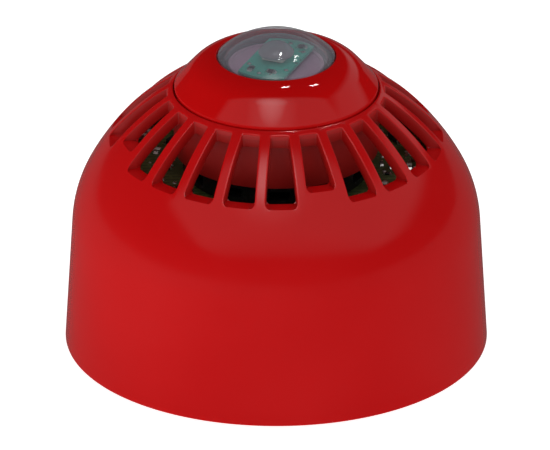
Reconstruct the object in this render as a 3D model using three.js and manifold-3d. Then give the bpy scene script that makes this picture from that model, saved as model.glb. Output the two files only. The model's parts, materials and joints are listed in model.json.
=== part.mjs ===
// Horn strobe: a dome sounder with an LED beacon in its cap, twist-locked onto a mounting base.
// Millimetres, +Z up. The origin is the middle of the underside of the base, where it meets the wall.
import * as THREE from "three";
import { mergeVertices } from "three/addons/utils/BufferGeometryUtils.js";
import Module from "manifold-3d";

const wasm = await Module();
wasm.setup();

// ---------- driving dimensions ----------

const clearance = 0.3; // between pieces that rest on or sit inside each other
const overrun = 1; // how far a cutter runs past the face it cuts
const root = 0.5; // how far one feature sinks into another that it grows from
const degrees = Math.PI / 180;

const dome = {
  footRadius: 50, // outside, at the wall
  footGap: 0.4, // the skirt stops short of the wall
  skirtHeight: 31,
  skirtDraft: 1.8, // radius lost up the skirt
  lowerArc: 30,
  upperArc: 58,
  arcMeet: 62 * degrees, // slope where the two arcs meet
  wall: 2.7,
  recessDepth: 1.6, // the cap stands in a recess round the crown
  facets: 72,
};

const slot = {
  count: 24,
  innerRadius: 25.7,
  sillRadius: 39.4, // where a long slot's flat sill meets the outside
  shortSillRadius: 37,
  shortEvery: 6,
  shortFirst: 1,
  ribWidth: 2.5,
};

const tube = { outerRadius: 24.2, wall: 2.6, notchWidth: 6, notchHeight: 4 };

const cap = {
  radius: 24.05,
  lipHeight: 1.8,
  flankRise: 4,
  flankSlope: 49 * degrees,
  crownArc: 11.2,
  rimRadius: 14.1,
  rimThickness: 1.95,
  plugWall: 2,
  plugDepth: 6.5,
};

const lens = { rise: 5.55, thickness: 1.6, flangeWidth: 2.6, flangeThickness: 1.3 };
const sealRing = { thickness: 1.2, inset: 0.25 };
const retainer = { thickness: 1.3, overhang: 1.6 };

const carrier = { radius: 11.3, thickness: 1.6, drop: 1.9, skirtWall: 1.4, height: 11, brim: 1.6 };
const strobeBoard = { width: 11.6, thickness: 0.8, angle: 66 * degrees };
const led = { size: 5.4, thickness: 0.7, opticRadius: 4.2, opticHeight: 2.9, opticFoot: 0.5 };
const driverBoard = { radius: 17.4, thickness: 1.4 };
const driverCoil = { radius: 3.6, height: 3.4, offset: 9.5 };
const strobeCapacitor = { radius: 2.6, length: 14, offset: -7 };
const strobeLead = { radius: 1.1, exitRadius: 27, inset: 3.4, segments: 4, steps: 12 };

const mainBoard = { radius: 39.5, thickness: 1.6, belowCrown: 21.2 };
const capsule = {
  radius: 22,
  height: 5.4,
  wall: 1.5,
  floor: 1.1,
  mouth: 15.5,
  ports: 12,
  portWidth: 5,
  portHeight: 2.2,
};
const piezo = { radius: 17.5, plate: 0.5, ceramicRadius: 11.5, ceramic: 0.4, height: 1.7 };

const interfaceBoard = { radius: 39, thickness: 1.6, height: 22.3 };
const standoff = { radius: 2.4, orbit: 32, count: 3, start: 30 * degrees };
const reservoir = { radius: 5, height: 12.5, orbit: 22, y: -6 };
const transformer = { size: 13, height: 9, y: 14 };
const controller = { width: 9, depth: 9, thickness: 1.2, y: -12 };
const header = { width: 15, depth: 2.6, y: 27 };

const rearCover = { thickness: 2.4, height: 17.6, wallGap: 0.5 };
const boss = { radius: 3, orbit: 43.2, height: 9, count: 3, start: 90 * degrees };
const coverScrew = {
  shank: 1.3,
  head: 2.7,
  headThickness: 1.5,
  length: 7.5,
  cross: 2.6,
  crossWidth: 0.7,
  recess: 0.7,
};

const toneSwitch = { ways: 5, pitch: 2.54, width: 14.4, depth: 6.6, drop: 5.7, x: -9, y: -17 };
const toneSlider = { width: 1.1, depth: 1.4, height: 1.1, travel: 1.4, sunk: 0.6, play: 0.15 };
const volume = {
  size: 7.2,
  drop: 5.5,
  x: 12,
  y: -17,
  rotorRadius: 2.5,
  rotorDepth: 2.2,
  sunk: 1.7,
  slotLength: 4,
  slotWidth: 0.7,
  slotDepth: 0.8,
};

const base = { radius: 46.4, floor: 3, ringRadius: 39.2, ringWall: 2.2, ringTop: 13.6, entryRadius: 11 };
const lug = { count: 3, span: 22 * degrees, postInner: 41.3, postOuter: 43.7, outer: 46.3 };
const hook = { bottom: 7.7, thickness: 2.5, stopSpan: 3 * degrees };
const tab = { span: 18 * degrees, inner: 44.6, bottom: 4.6, thickness: 2.6 };
const screwHole = { orbit: 30, width: 4.6, length: 9, count: 4, start: 45 * degrees };
const wallGasket = { inner: 34, outer: 38, thickness: 1.5, groove: 2, proud: 0.2 };

const terminal = {
  ways: 6,
  pitch: 6.2,
  endWall: 0.8,
  depth: 11,
  height: 9.4,
  ringGap: 8, // from the block's outer corners to the ring wall
  wireRadius: 1.6,
  wireHeight: 2.8,
  wireDepth: 3.3,
  screwRadius: 2.1,
};
const terminalScrew = { height: 3, slot: 0.6, slotDepth: 0.8, sunk: 0.4 };
const contact = {
  count: 4,
  pitch: 9,
  width: 4,
  thickness: 0.5,
  y: 18,
  foot: 5,
  padDepth: 6,
  tip: 3,
  tipShift: 1.25,
};

// ---------- shaping helpers ----------

function solidOf(geometry) {
  const bare = geometry.clone();
  bare.deleteAttribute("normal");
  bare.deleteAttribute("uv");
  const merged = mergeVertices(bare, 1e-4);
  return new wasm.Manifold(
    new wasm.Mesh({
      numProp: 3,
      vertProperties: new Float32Array(merged.attributes.position.array),
      triVerts: new Uint32Array(merged.index.array),
    }),
  );
}

function geometryOf(solid) {
  const mesh = solid.getMesh();
  const geometry = new THREE.BufferGeometry();
  geometry.setAttribute("position", new THREE.BufferAttribute(new Float32Array(mesh.vertProperties), 3));
  geometry.setIndex(new THREE.BufferAttribute(new Uint32Array(mesh.triVerts), 1));
  geometry.computeVertexNormals();
  return geometry;
}

// A closed outline of [radius, height] points turned round Z, as a solid with its faces outward.
function turned(outline, facets = 36) {
  let doubleArea = 0;
  outline.forEach(([r, z], i) => {
    const [nextR, nextZ] = outline[(i + 1) % outline.length];
    doubleArea += r * nextZ - nextR * z;
  });
  const anticlockwise = doubleArea > 0 ? outline : [...outline].reverse();
  const points = [...anticlockwise, anticlockwise[0]].map(([r, z]) => new THREE.Vector2(r, z));
  return solidOf(new THREE.LatheGeometry(points, facets).rotateX(Math.PI / 2));
}

function ring(inner, outer, bottom, top, facets = 36) {
  return turned([[inner, bottom], [outer, bottom], [outer, top], [inner, top]], facets);
}

function disc(radius, bottom, top, facets = 28, x = 0, y = 0) {
  const geometry = new THREE.CylinderGeometry(radius, radius, top - bottom, facets);
  return solidOf(geometry.rotateX(Math.PI / 2).translate(x, y, (bottom + top) / 2));
}

function block(width, depth, bottom, top, x = 0, y = 0) {
  return solidOf(new THREE.BoxGeometry(width, depth, top - bottom).translate(x, y, (bottom + top) / 2));
}

// A flat outline of [x, y] points raised from bottom to top.
function prism(outline, bottom, top) {
  const shape = new THREE.Shape(outline.map(([x, y]) => new THREE.Vector2(x, y)));
  const geometry = new THREE.ExtrudeGeometry(shape, { depth: top - bottom, bevelEnabled: false });
  return solidOf(geometry.translate(0, 0, bottom));
}

// Part of a ring, centred on an angle.
function sector(inner, outer, bottom, top, middle, span, steps = 4) {
  const outline = [];
  for (let i = 0; i <= steps; i++) outline.push(polar(outer, middle - span / 2 + (span * i) / steps));
  for (let i = steps; i >= 0; i--) outline.push(polar(inner, middle - span / 2 + (span * i) / steps));
  return prism(outline, bottom, top);
}

function polar(radius, angle) {
  return [radius * Math.cos(angle), radius * Math.sin(angle)];
}

function around(count, start = 0) {
  return Array.from({ length: count }, (_, i) => start + (i * 2 * Math.PI) / count);
}

function turnedBy(solid, angle) {
  return solid.rotate([0, 0, angle / degrees]);
}

function unite(solids) {
  return solids.reduce((whole, next) => whole.add(next));
}

function cutFrom(solid, cutters) {
  return cutters.reduce((rest, cutter) => rest.subtract(cutter), solid);
}

// ---------- the dome's outline ----------

// Slopes are measured from the horizontal: a point on an arc is centre + radius * (sin, cos).
const skirtTop = [dome.footRadius - dome.skirtDraft, dome.skirtHeight];
const skirtSlope = Math.atan2(dome.skirtHeight, dome.skirtDraft);
const lowerCentre = arcCentre(skirtTop, dome.lowerArc, skirtSlope);
const arcsMeet = onArc(lowerCentre, dome.lowerArc, dome.arcMeet);
const upperCentre = arcCentre(arcsMeet, dome.upperArc, dome.arcMeet);

function arcCentre([r, z], radius, slope) {
  return [r - radius * Math.sin(slope), z - radius * Math.cos(slope)];
}

function onArc([r, z], radius, slope) {
  return [r + radius * Math.sin(slope), z + radius * Math.cos(slope)];
}

function arcPoints(centre, radius, from, to, steps) {
  return Array.from({ length: steps + 1 }, (_, i) => onArc(centre, radius, from + ((to - from) * i) / steps));
}

// Slope of the upper arc, and its height, at a distance from the axis; inset moves it into the wall.
function crownSlope(radius, inset = 0) {
  return Math.asin((radius - upperCentre[0]) / (dome.upperArc - inset));
}

function crownHeight(radius, inset = 0) {
  return onArc(upperCentre, dome.upperArc - inset, crownSlope(radius, inset))[1];
}

// Inside radius of the skirt at a height.
function skirtInside(height) {
  return dome.footRadius - (dome.skirtDraft * height) / dome.skirtHeight - dome.wall / Math.sin(skirtSlope);
}

const recessRadius = cap.radius + clearance;
const crownZ = crownHeight(recessRadius);
const seatZ = crownZ - dome.recessDepth;

// ---------- heights of the stack inside ----------

const mainBoardTop = crownZ - mainBoard.belowCrown;
const mainBoardBottom = mainBoardTop - mainBoard.thickness;
const capsuleBottom = mainBoardTop + clearance;
const capsuleTop = capsuleBottom + capsule.height;
const tubeBottom = capsuleTop + clearance;
const interfaceTop = interfaceBoard.height + interfaceBoard.thickness;
const coverTop = rearCover.height + rearCover.thickness;
const capBottom = seatZ + clearance;
const flankFoot = [cap.radius, capBottom + cap.lipHeight];
const flankTop = [cap.radius - cap.flankRise / Math.tan(cap.flankSlope), flankFoot[1] + cap.flankRise];
const crownCentre = arcCentre(flankTop, cap.crownArc, cap.flankSlope);
const rimSlope = Math.asin((cap.rimRadius - crownCentre[0]) / cap.crownArc);
const rimTop = onArc(crownCentre, cap.crownArc, rimSlope)[1];
const rimBottom = rimTop - cap.rimThickness;
const plugRadius = tube.outerRadius - tube.wall - clearance;
const plugInside = plugRadius - cap.plugWall;
const lensRadius = cap.rimRadius - clearance;
const flangeRadius = lensRadius + lens.flangeWidth;
const flangeTop = rimBottom - clearance;
const flangeBottom = flangeTop - lens.flangeThickness;
const sealTop = flangeBottom - clearance;
const retainerTop = sealTop - sealRing.thickness - clearance;
const carrierTop = rimTop - carrier.drop;
const strobeTop = carrierTop + clearance + strobeBoard.thickness;
const ledTop = strobeTop + clearance + led.thickness;
const brimBottom = carrierTop - carrier.height;
const driverTop = brimBottom - clearance;
const driverBottom = driverTop - driverBoard.thickness;

// ---------- the head's shells ----------

function slotCutter(index) {
  const sill = index % slot.shortEvery === slot.shortFirst ? slot.shortSillRadius : slot.sillRadius;
  const halfPitch = Math.PI / slot.count;
  const halfRib = slot.ribWidth / 2 / Math.cos(halfPitch);
  const reach = dome.footRadius;
  const innerHalf = slot.innerRadius * Math.tan(halfPitch) - halfRib;
  const outerHalf = reach * Math.tan(halfPitch) - halfRib;
  const outline = [
    [slot.innerRadius, -innerHalf],
    [reach, -outerHalf],
    [reach, outerHalf],
    [slot.innerRadius, innerHalf],
  ];
  const cutter = prism(outline, crownHeight(sill), crownZ + dome.wall);
  return turnedBy(cutter, index * 2 * halfPitch - Math.PI / 2);
}

function domeHousing() {
  const outside = [
    [dome.footRadius - (dome.skirtDraft * dome.footGap) / dome.skirtHeight, dome.footGap],
    ...arcPoints(lowerCentre, dome.lowerArc, skirtSlope, dome.arcMeet, 3),
    ...arcPoints(upperCentre, dome.upperArc, dome.arcMeet, crownSlope(recessRadius), 4).slice(1),
  ];
  const innerMeet = crownSlope(tube.outerRadius, dome.wall);
  const inside = [
    [tube.outerRadius, tubeBottom],
    ...arcPoints(upperCentre, dome.upperArc - dome.wall, innerMeet, dome.arcMeet, 3),
    ...arcPoints(lowerCentre, dome.lowerArc - dome.wall, dome.arcMeet, skirtSlope, 2).slice(1),
    [skirtInside(dome.footGap), dome.footGap],
  ];
  const seat = [
    [recessRadius, seatZ],
    [tube.outerRadius - tube.wall, seatZ],
    [tube.outerRadius - tube.wall, tubeBottom],
  ];
  const shell = turned([...outside, ...seat, ...inside], dome.facets);
  const leadNotch = block(
    tube.notchWidth,
    2 * tube.wall,
    tubeBottom - overrun,
    tubeBottom + tube.notchHeight,
    0,
    tube.outerRadius - tube.wall / 2,
  );
  const slots = Array.from({ length: slot.count }, (_, i) => slotCutter(i));
  const bosses = around(boss.count, boss.start).map((angle) => {
    const [x, y] = polar(boss.orbit, angle);
    const foot = coverTop + clearance;
    const post = disc(boss.radius, foot, foot + boss.height, 16, x, y);
    const reach = skirtInside(foot + boss.height) + dome.wall / 2 - boss.orbit;
    const web = turnedBy(block(reach, boss.radius, foot, foot + boss.height, boss.orbit + reach / 2), angle);
    const pilotTop = rearCover.height + coverScrew.length + 2 * clearance;
    const pilot = disc(coverScrew.shank + clearance, foot - overrun, pilotTop, 12, x, y);
    return post.add(web).subtract(pilot);
  });
  const tabOuter = skirtInside(tab.bottom) + dome.wall / 2;
  const tabs = around(lug.count).map((angle) =>
    sector(tab.inner, tabOuter, tab.bottom, tab.bottom + tab.thickness, angle, tab.span),
  );
  return cutFrom(unite([shell, ...bosses, ...tabs]), [leadNotch, ...slots]);
}

function bezelCap() {
  const innerFlankTop = [flangeRadius + clearance, retainerTop - retainer.thickness];
  const innerFlankFoot = [plugRadius - cap.plugWall, capBottom];
  return turned([
    [cap.radius, capBottom],
    flankFoot,
    ...arcPoints(crownCentre, cap.crownArc, cap.flankSlope, rimSlope, 5),
    [cap.rimRadius, rimBottom],
    [flangeRadius + clearance, rimBottom],
    innerFlankTop,
    innerFlankFoot,
    [plugInside, capBottom - cap.plugDepth],
    [plugRadius, capBottom - cap.plugDepth],
    [plugRadius, capBottom],
  ]);
}

function lensDome() {
  const sphere = (lensRadius ** 2 + lens.rise ** 2) / (2 * lens.rise);
  const centreZ = rimTop + lens.rise - sphere;
  const inner = sphere - lens.thickness;
  const insideRadius = lensRadius - lens.thickness;
  const outerEdge = Math.asin(lensRadius / sphere);
  const innerEdge = Math.asin(insideRadius / inner);
  const outline = [
    ...arcPoints([0, centreZ], sphere, 0, outerEdge, 5),
    [lensRadius, flangeTop],
    [flangeRadius, flangeTop],
    [flangeRadius, flangeBottom],
    [insideRadius, flangeBottom],
    ...arcPoints([0, centreZ], inner, innerEdge, 0, 4),
  ];
  return turned(outline);
}

function rearCoverPlate() {
  const radius = skirtInside(rearCover.height + rearCover.thickness) - rearCover.wallGap;
  const windowGap = 2 * clearance;
  const window = (width, depth, x, y) =>
    block(width + windowGap, depth + windowGap, 0, coverTop + overrun, x, y);
  const screwHoles = around(boss.count, boss.start).map((angle) =>
    disc(coverScrew.shank + clearance, 0, coverTop + overrun, 12, ...polar(boss.orbit, angle)),
  );
  return cutFrom(disc(radius, rearCover.height, coverTop, 48), [
    ...screwHoles,
    ...contactPlaces().map((x) => window(contact.width, contact.thickness, x, contact.y)),
    window(toneSwitch.width, toneSwitch.depth, toneSwitch.x, toneSwitch.y),
    window(volume.size, volume.size, volume.x, volume.y),
  ]);
}

// ---------- beacon ----------

function ledCarrier() {
  const skirtInner = carrier.radius - carrier.skirtWall;
  return turned([
    [0, carrierTop],
    [carrier.radius, carrierTop],
    [carrier.radius, brimBottom + carrier.brim],
    [plugInside - clearance, brimBottom + carrier.brim],
    [plugInside - clearance, brimBottom],
    [skirtInner, brimBottom],
    [skirtInner, carrierTop - carrier.thickness],
    [0, carrierTop - carrier.thickness],
  ]);
}

function strobeStrip() {
  const halfWidth = strobeBoard.width / 2;
  const corner = Math.asin(halfWidth / carrier.radius);
  const steps = 4;
  const outline = [];
  for (const side of [0, Math.PI])
    for (let i = 0; i <= steps; i++)
      outline.push(polar(carrier.radius, side - corner + (2 * corner * i) / steps));
  return turnedBy(prism(outline, carrierTop + clearance, strobeTop), strobeBoard.angle);
}

function ledOptic() {
  const foot = ledTop + clearance;
  const rise = led.opticHeight - led.opticFoot;
  const sphere = (led.opticRadius ** 2 + rise ** 2) / (2 * rise);
  const edge = Math.asin(led.opticRadius / sphere);
  const curve = arcPoints([0, foot + led.opticHeight - sphere], sphere, 0, edge, 4);
  return turned([...curve, [led.opticRadius, foot], [0, foot]], 24);
}

function strobeCapacitorBody() {
  const { radius, length, offset } = strobeCapacitor;
  const can = new THREE.CylinderGeometry(radius, radius, length, 18);
  return solidOf(can.translate(offset, 0, driverBottom - clearance - radius));
}

// The lead leaves the driver board, passes the notch in the tube and drops to the main board.
function strobeLeadRun() {
  const start = driverBottom - clearance;
  const route = new THREE.CatmullRomCurve3(
    [
      [0, driverBoard.radius - strobeLead.inset, start],
      [0, driverBoard.radius - strobeLead.inset + 0.4, start - 2],
      [0, driverBoard.radius + 0.4, tubeBottom + 2.6],
      [0, tube.outerRadius - 1, tubeBottom + 1.7],
      [0, strobeLead.exitRadius, tubeBottom - 0.6],
      [0, strobeLead.exitRadius + 0.6, mainBoardTop + clearance],
    ].map((point) => new THREE.Vector3(...point)),
  );
  const section = new THREE.Shape();
  section.absarc(0, 0, strobeLead.radius, 0, 2 * Math.PI);
  const geometry = new THREE.ExtrudeGeometry(section, {
    steps: strobeLead.steps,
    curveSegments: strobeLead.segments,
    extrudePath: route,
  });
  return solidOf(geometry);
}

// ---------- sounder and boards ----------

function sounderCapsule() {
  const inside = capsule.radius - capsule.wall;
  const shell = turned([
    [0, capsuleBottom],
    [capsule.radius, capsuleBottom],
    [capsule.radius, capsuleTop],
    [capsule.mouth, capsuleTop],
    [capsule.mouth, capsuleTop - capsule.floor],
    [inside, capsuleTop - capsule.floor],
    [inside, capsuleBottom + capsule.floor],
    [0, capsuleBottom + capsule.floor],
  ]);
  const middle = (capsuleBottom + capsuleTop) / 2;
  const ports = around(capsule.ports).map((angle) =>
    turnedBy(
      block(
        3 * capsule.wall,
        capsule.portWidth,
        middle - capsule.portHeight / 2,
        middle + capsule.portHeight / 2,
        capsule.radius - capsule.wall / 2,
      ),
      angle,
    ),
  );
  return cutFrom(shell, ports);
}

function roundBoard(board, bottom) {
  return disc(board.radius, bottom, bottom + board.thickness, 36);
}

function standoffPlaces() {
  return around(standoff.count, standoff.start).map((angle) => polar(standoff.orbit, angle));
}

// ---------- settings ----------

const switchBottom = interfaceBoard.height - clearance - toneSwitch.drop;
const volumeBottom = interfaceBoard.height - clearance - volume.drop;

function sliderX(way) {
  return toneSwitch.x + (way - (toneSwitch.ways - 1) / 2) * toneSwitch.pitch;
}

function toneSwitchBody() {
  const run = toneSlider.depth + toneSlider.travel + 2 * toneSlider.play;
  const grooves = Array.from({ length: toneSwitch.ways }, (_, way) =>
    block(
      toneSlider.width + 2 * toneSlider.play,
      run,
      switchBottom - overrun,
      switchBottom + toneSlider.sunk + toneSlider.play,
      sliderX(way),
      toneSwitch.y,
    ),
  );
  const body = block(
    toneSwitch.width,
    toneSwitch.depth,
    switchBottom,
    switchBottom + toneSwitch.drop,
    toneSwitch.x,
    toneSwitch.y,
  );
  return cutFrom(body, grooves);
}

function toneSliderKnob(way) {
  const bottom = switchBottom + toneSlider.sunk - toneSlider.height;
  return block(
    toneSlider.width,
    toneSlider.depth,
    bottom,
    bottom + toneSlider.height,
    sliderX(way),
    toneSwitch.y - toneSlider.travel / 2,
  );
}

function volumeBody() {
  const body = block(volume.size, volume.size, volumeBottom, volumeBottom + volume.drop, volume.x, volume.y);
  const well = disc(
    volume.rotorRadius + clearance,
    volumeBottom - overrun,
    volumeBottom + volume.sunk + clearance,
    24,
    volume.x,
    volume.y,
  );
  return body.subtract(well);
}

function volumeRotor() {
  const bottom = volumeBottom + volume.sunk - volume.rotorDepth;
  const rotor = disc(volume.rotorRadius, bottom, bottom + volume.rotorDepth, 20, volume.x, volume.y);
  const driverSlot = block(
    volume.slotLength,
    volume.slotWidth,
    bottom - overrun,
    bottom + volume.slotDepth,
    volume.x,
    volume.y,
  );
  return rotor.subtract(driverSlot);
}

// ---------- mounting base ----------

// The stop closes one end of a hook, and sinks a little into the hook's own post.
function stopAngle(angle) {
  return angle - lug.span / 2 - hook.stopSpan * 0.4;
}

function mountingBase() {
  const floor = disc(base.radius, 0, base.floor, 48);
  const sealRingWall = ring(base.ringRadius - base.ringWall, base.ringRadius, base.floor / 2, base.ringTop);
  const hookTop = hook.bottom + hook.thickness;
  const lugs = around(lug.count).flatMap((angle) => [
    sector(lug.postInner, lug.postOuter, base.floor / 2, hookTop, angle, lug.span),
    sector(lug.postOuter - root, lug.outer, hook.bottom, hookTop, angle, lug.span),
    sector(lug.postInner, lug.outer, base.floor / 2, hookTop, stopAngle(angle), hook.stopSpan, 1),
  ]);
  const groove = ring(
    wallGasket.inner - clearance,
    wallGasket.outer + clearance,
    -overrun,
    wallGasket.groove,
  );
  const screwHoles = around(screwHole.count, screwHole.start).map((angle) =>
    turnedBy(
      block(screwHole.width, screwHole.length, -overrun, base.floor + overrun, screwHole.orbit),
      angle,
    ),
  );
  const entry = disc(base.entryRadius, -overrun, base.floor + overrun);
  return cutFrom(unite([floor, sealRingWall, ...lugs]), [groove, entry, ...screwHoles]);
}

function terminalX(way) {
  return (way - (terminal.ways - 1) / 2) * terminal.pitch;
}

const terminalBottom = base.floor + clearance;
const terminalTop = terminalBottom + terminal.height;
const terminalHalfWidth = (terminal.ways * terminal.pitch) / 2 + terminal.endWall;
const terminalOuterY = Math.sqrt((base.ringRadius - base.ringWall) ** 2 - terminalHalfWidth ** 2) -
  terminal.ringGap;
const terminalY = terminal.depth / 2 - terminalOuterY;

function terminalBlock() {
  const ways = Array.from({ length: terminal.ways }, (_, way) => way);
  const wireHoles = ways.map((way) => {
    const { wireRadius, wireDepth } = terminal;
    const hole = new THREE.CylinderGeometry(wireRadius, wireRadius, 2 * wireDepth, 12);
    return solidOf(hole.translate(terminalX(way), -terminalOuterY, terminalBottom + terminal.wireHeight));
  });
  const screwWells = ways.map((way) =>
    disc(
      terminal.screwRadius + clearance,
      terminalTop - terminalScrew.height - terminalScrew.sunk - clearance,
      terminalTop + overrun,
      16,
      terminalX(way),
      terminalY,
    ),
  );
  const body = block(2 * terminalHalfWidth, terminal.depth, terminalBottom, terminalTop, 0, terminalY);
  return cutFrom(body, [...wireHoles, ...screwWells]);
}

function terminalScrewBody(way) {
  const top = terminalTop - terminalScrew.sunk;
  const body = disc(terminal.screwRadius, top - terminalScrew.height, top, 16, terminalX(way), terminalY);
  const driverSlot = block(
    3 * terminal.screwRadius,
    terminalScrew.slot,
    top - terminalScrew.slotDepth,
    top + overrun,
    terminalX(way),
    terminalY,
  );
  return body.subtract(driverSlot);
}

function contactPlaces() {
  return Array.from({ length: contact.count }, (_, i) => (i - (contact.count - 1) / 2) * contact.pitch);
}

// Each head contact is a blade through the rear cover with a pad that lies over a sprung base contact.
const padBottom = rearCover.height - clearance - contact.thickness;

function headContact(x) {
  const bladeTop = interfaceBoard.height - clearance;
  const blade = block(contact.width, contact.thickness, padBottom, bladeTop, x, contact.y);
  const pad = block(contact.width, contact.padDepth, padBottom, padBottom + contact.thickness, x, contact.y);
  return blade.add(pad);
}

function baseContact(x) {
  const foot = base.floor + clearance;
  const springTop = padBottom - clearance;
  const plateY = contact.y - contact.foot / 2;
  const plate = block(contact.width, contact.foot, foot, foot + contact.thickness, x, plateY);
  const riser = block(contact.width, contact.thickness, foot, springTop, x, contact.y);
  const tip = block(
    contact.width,
    contact.tip,
    springTop - contact.thickness,
    springTop,
    x,
    contact.y + contact.tipShift,
  );
  return unite([plate, riser, tip]);
}

function screwWithHead(x, y) {
  const headTop = rearCover.height - clearance;
  const headBottom = headTop - coverScrew.headThickness;
  const shank = disc(coverScrew.shank, headTop - root, rearCover.height + coverScrew.length, 12, x, y);
  const head = disc(coverScrew.head, headBottom, headTop, 16, x, y);
  const recessDepth = headBottom + coverScrew.recess;
  const cross = [
    block(coverScrew.cross, coverScrew.crossWidth, headBottom - overrun, recessDepth, x, y),
    block(coverScrew.crossWidth, coverScrew.cross, headBottom - overrun, recessDepth, x, y),
  ];
  return cutFrom(head.add(shank), cross);
}

// ---------- finishes ----------

function finish(colour, roughness, metalness = 0, extra = {}) {
  return { colour, roughness, metalness, extra };
}

const redPlastic = finish(0xb01216, 0.28);
const clearPlastic = finish(0xc9d4dc, 0.08, 0, { transparent: true, opacity: 0.35 });
const blackPlastic = finish(0x17171a, 0.5);
const blackRubber = finish(0x1d1d1f, 0.85);
const greyPlastic = finish(0x8d7480, 0.5);
const boardGreen = finish(0x1d6b4c, 0.45);
const brass = finish(0xb8903f, 0.35, 1);
const steel = finish(0xb9bcc0, 0.35, 1);
const ceramicWhite = finish(0xd9d6cf, 0.4);
const darkFerrite = finish(0x3a3634, 0.7);
const capacitorSleeve = finish(0x20242c, 0.4);
const switchBlue = finish(0x23407a, 0.45);
const whitePlastic = finish(0xe6e4dd, 0.4);
const leadSheath = finish(0x8c1a1c, 0.6);

const model = new THREE.Group();
const baseGroup = new THREE.Group();
const headGroup = new THREE.Group();
model.add(baseGroup, headGroup);

function place(group, name, solid, look) {
  const material = new THREE.MeshStandardMaterial({
    color: look.colour,
    roughness: look.roughness,
    metalness: look.metalness,
    ...look.extra,
  });
  const mesh = new THREE.Mesh(geometryOf(solid), material);
  mesh.name = name;
  group.add(mesh);
}

// ---------- assembly: mounting base ----------

place(baseGroup, "mounting_base", mountingBase(), redPlastic);
place(
  baseGroup,
  "wall_gasket",
  ring(wallGasket.inner, wallGasket.outer, wallGasket.proud, wallGasket.proud + wallGasket.thickness),
  blackRubber,
);
place(baseGroup, "terminal_block", terminalBlock(), blackPlastic);
for (let way = 0; way < terminal.ways; way++)
  place(baseGroup, `terminal_screw_${way + 1}`, terminalScrewBody(way), steel);
contactPlaces().forEach((x, i) => place(baseGroup, `base_contact_${i + 1}`, baseContact(x), brass));

// ---------- assembly: head shells and seals ----------

place(headGroup, "dome_housing", domeHousing(), redPlastic);
place(headGroup, "bezel_cap", bezelCap(), redPlastic);
place(headGroup, "rear_cover", rearCoverPlate(), blackPlastic);
around(boss.count, boss.start).forEach((angle, i) =>
  place(headGroup, `cover_screw_${i + 1}`, screwWithHead(...polar(boss.orbit, angle)), steel),
);
place(
  headGroup,
  "head_seal",
  ring(
    base.ringRadius - base.ringWall,
    base.ringRadius,
    base.ringTop + clearance,
    rearCover.height - clearance,
  ),
  blackRubber,
);

// ---------- assembly: beacon ----------

place(headGroup, "lens", lensDome(), clearPlastic);
place(
  headGroup,
  "lens_seal",
  ring(lensRadius + sealRing.inset, flangeRadius - sealRing.inset, sealTop - sealRing.thickness, sealTop),
  blackRubber,
);
place(
  headGroup,
  "lens_retainer",
  ring(lensRadius - retainer.overhang, flangeRadius, retainerTop - retainer.thickness, retainerTop),
  greyPlastic,
);
place(headGroup, "led_carrier", ledCarrier(), greyPlastic);
place(headGroup, "strobe_board", strobeStrip(), boardGreen);
place(
  headGroup,
  "led_package",
  turnedBy(block(led.size, led.size, strobeTop + clearance, ledTop), strobeBoard.angle),
  ceramicWhite,
);
place(headGroup, "led_optic", ledOptic(), clearPlastic);
place(headGroup, "driver_board", roundBoard(driverBoard, driverBottom), boardGreen);
place(
  headGroup,
  "driver_coil",
  disc(
    driverCoil.radius,
    driverBottom - clearance - driverCoil.height,
    driverBottom - clearance,
    20,
    driverCoil.offset,
    0,
  ),
  darkFerrite,
);
place(headGroup, "strobe_capacitor", strobeCapacitorBody(), capacitorSleeve);
place(headGroup, "strobe_lead", strobeLeadRun(), leadSheath);

// ---------- assembly: sounder and electronics ----------

place(headGroup, "sounder_capsule", sounderCapsule(), blackPlastic);
const plateBottom = capsuleBottom + piezo.height;
place(headGroup, "piezo_plate", disc(piezo.radius, plateBottom, plateBottom + piezo.plate), brass);
const ceramicBottom = plateBottom + piezo.plate + clearance;
place(
  headGroup,
  "piezo_ceramic",
  disc(piezo.ceramicRadius, ceramicBottom, ceramicBottom + piezo.ceramic),
  ceramicWhite,
);
place(headGroup, "main_board", roundBoard(mainBoard, mainBoardBottom), boardGreen);
place(headGroup, "interface_board", roundBoard(interfaceBoard, interfaceBoard.height), boardGreen);
const gapBottom = interfaceTop + clearance;
const gapTop = mainBoardBottom - clearance;
standoffPlaces().forEach(([x, y], i) =>
  place(
    headGroup,
    `board_standoff_${i + 1}`,
    disc(standoff.radius, gapBottom, gapTop, 16, x, y),
    whitePlastic,
  ),
);
[-1, 1].forEach((side, i) =>
  place(
    headGroup,
    `reservoir_capacitor_${i + 1}`,
    disc(
      reservoir.radius,
      gapTop - reservoir.height,
      gapTop,
      20,
      side * reservoir.orbit,
      reservoir.y,
    ),
    capacitorSleeve,
  ),
);
place(
  headGroup,
  "sounder_transformer",
  block(
    transformer.size,
    transformer.size,
    gapTop - transformer.height,
    gapTop,
    0,
    transformer.y,
  ),
  darkFerrite,
);
place(
  headGroup,
  "controller_chip",
  block(controller.width, controller.depth, gapTop - controller.thickness, gapTop, 0, controller.y),
  blackPlastic,
);
place(
  headGroup,
  "board_header",
  block(header.width, header.depth, gapBottom, gapTop, 0, header.y),
  blackPlastic,
);

// ---------- assembly: settings reached from behind ----------

place(headGroup, "tone_switch", toneSwitchBody(), switchBlue);
for (let way = 0; way < toneSwitch.ways; way++)
  place(headGroup, `tone_slider_${way + 1}`, toneSliderKnob(way), whitePlastic);
place(headGroup, "volume_body", volumeBody(), switchBlue);
place(headGroup, "volume_rotor", volumeRotor(), whitePlastic);
contactPlaces().forEach((x, i) => place(headGroup, `head_contact_${i + 1}`, headContact(x), brass));

export default model;
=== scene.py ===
# Horn strobe: a red dome sounder with a clear beacon in its crown, on a twist-lock base.
# Sizes in the dictionaries are millimetres and degrees. Meshes are made in metres, +Z out of the wall.
import json
import math
import random

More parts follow.
